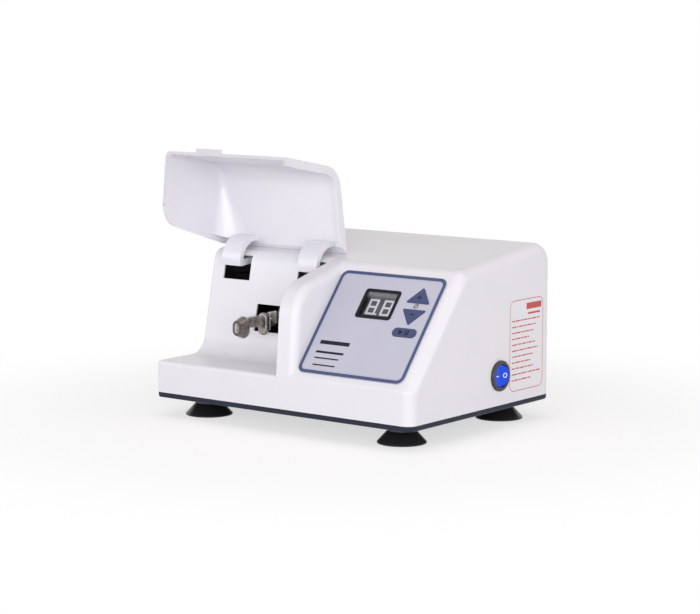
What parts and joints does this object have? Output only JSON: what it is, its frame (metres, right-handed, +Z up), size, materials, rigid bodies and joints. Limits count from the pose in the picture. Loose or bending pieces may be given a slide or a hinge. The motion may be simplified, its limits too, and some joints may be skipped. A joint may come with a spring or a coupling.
{
  "type": "dental amalgamator",
  "caption": "Bench-top capsule mixer for a dental surgery, with a hinged lid over an open mixing bay, a shaking fork, a sloping key panel and suction feet.",
  "frame": {"origin": "centre of the whole object's box, on the surface that the feet stand on", "axes": "+Z up; -Y is the front, where the user stands; +X is to the user's right, the side with the power switch"},
  "size_m": [0.2456, 0.184, 0.2041],
  "materials": {
    "casing": "glossy white moulded plastic, faintly warm",
    "lid_shell": "glossy white moulded plastic",
    "base_slate": "dark slate-blue moulded plastic",
    "foot_rubber": "black rubber, slightly shiny",
    "screw_steel": "zinc-plated steel",
    "rod_steel": "ground steel",
    "overlay_film": "satin silver-lavender membrane film",
    "key_film": "satin slate-blue printed film",
    "display_black": "satin black",
    "window_clear": "smoked clear acrylic",
    "digit_grey": "pale unlit display bars",
    "board_green": "solder-masked circuit board",
    "part_black": "black moulded plastic",
    "bezel_grey": "dark grey moulded plastic",
    "rocker_blue": "glossy bright blue plastic",
    "pin_brass": "bright brass",
    "fork_cast": "cast and polished grey-brown metal",
    "spring_steel": "bright spring steel",
    "motor_paint": "dark grey painted metal",
    "motor_alloy": "die-cast aluminium",
    "core_iron": "laminated iron",
    "coil_copper": "taped copper winding"
  },
  "bodies": {
    "casing": {"base_plate": "base_slate", "board_components": "part_black", "board_screws": "screw_steel", "board_standoffs": "pin_brass", "case_screws": "screw_steel", "control_board": "board_green", "display_bezel": "display_black", "display_module": "display_black", "display_segments": "digit_grey", "display_window": "window_clear", "foot_screws": "screw_steel", "hinge_brackets": "screw_steel", "hinge_rod": "rod_steel", "housing": "casing", "inlet_nuts": "screw_steel", "inlet_pins": "pin_brass", "inlet_screws": "screw_steel", "lid_switch": "part_black", "mains_inlet": "part_black", "motor_bearings": "rod_steel", "motor_bracket": "screw_steel", "motor_can": "motor_paint", "motor_end_caps": "motor_alloy", "motor_screws": "screw_steel", "motor_stator": "coil_copper", "mount_screws": "screw_steel", "panel_overlay": "overlay_film", "power_board": "board_green", "power_screws": "screw_steel", "power_standoffs": "pin_brass", "rubber_mounts": "foot_rubber", "spring_post": "screw_steel", "suction_feet": "foot_rubber", "switch_body": "bezel_grey", "tact_switches": "part_black", "transformer_coil": "coil_copper", "transformer_core": "core_iron"},
    "lid": {"lid": "lid_shell", "hinge_arm_left": "lid_shell", "hinge_arm_right": "lid_shell"},
    "rotor": {"motor_shaft": "rod_steel", "rotor_core": "core_iron", "cooling_fan": "part_black", "skew_hub": "rod_steel", "wobble_ball": "rod_steel", "hub_nut": "screw_steel", "balance_weight": "pin_brass"},
    "fork": {"shaker_arm": "fork_cast", "wobble_ring": "rod_steel", "front_jaw": "fork_cast", "jaw_spring": "spring_steel", "fork_screws": "screw_steel", "tail_spring": "spring_steel"},
    "rear_jaw": {"rear_jaw": "fork_cast"},
    "power_rocker": {"power_rocker": "rocker_blue"},
    "up_key": {"up_key": "key_film"},
    "down_key": {"down_key": "key_film"},
    "start_key": {"start_key": "key_film"},
    "switch_lever": {"lid_switch_lever": "spring_steel"}
  },
  "joints": [
    {"name": "lid_hinge", "type": "hinge", "parent": "casing", "child": "lid", "pos_m": [-0.10695, -0.0131, 0.1155], "axis": [1, 0, 0], "range_deg": [0, 96]},
    {"name": "motor_spin", "type": "hinge", "parent": "casing", "child": "rotor", "pos_m": [-0.05425, -0.002, 0.071], "axis": [1, 0, 0], "continuous": true},
    {"name": "fork_swing", "type": "hinge", "parent": "casing", "child": "fork", "pos_m": [-0.05425, -0.002, 0.071], "axis": [0, 0, 1], "range_deg": [-5, 5], "stiffness_Nm_per_rad": 0.3, "deforming": ["tail_spring"]},
    {"name": "jaw_slide", "type": "slide", "parent": "fork", "child": "rear_jaw", "axis": [0, 1, 0], "range_m": [0, 0.003], "stiffness_N_per_m": 1500, "deforming": ["jaw_spring"]},
    {"name": "rocker_tilt", "type": "hinge", "parent": "casing", "child": "power_rocker", "pos_m": [0.12005, 0.019, 0.0402], "axis": [0, 0, 1], "range_deg": [0, 16]},
    {"name": "up_press", "type": "slide", "parent": "casing", "child": "up_key", "axis": [0, 0.774, -0.6331], "range_m": [0, 0.0004], "stiffness_N_per_m": 3000},
    {"name": "down_press", "type": "slide", "parent": "casing", "child": "down_key", "axis": [0, 0.774, -0.6331], "range_m": [0, 0.0004], "stiffness_N_per_m": 3000},
    {"name": "start_press", "type": "slide", "parent": "casing", "child": "start_key", "axis": [0, 0.774, -0.6331], "range_m": [0, 0.0004], "stiffness_N_per_m": 3000},
    {"name": "lever_press", "type": "hinge", "parent": "casing", "child": "switch_lever", "pos_m": [-0.10125, 0.013, 0.1029], "axis": [1, 0, 0], "range_deg": [0, 4], "stiffness_Nm_per_rad": 0.02}
  ]
}
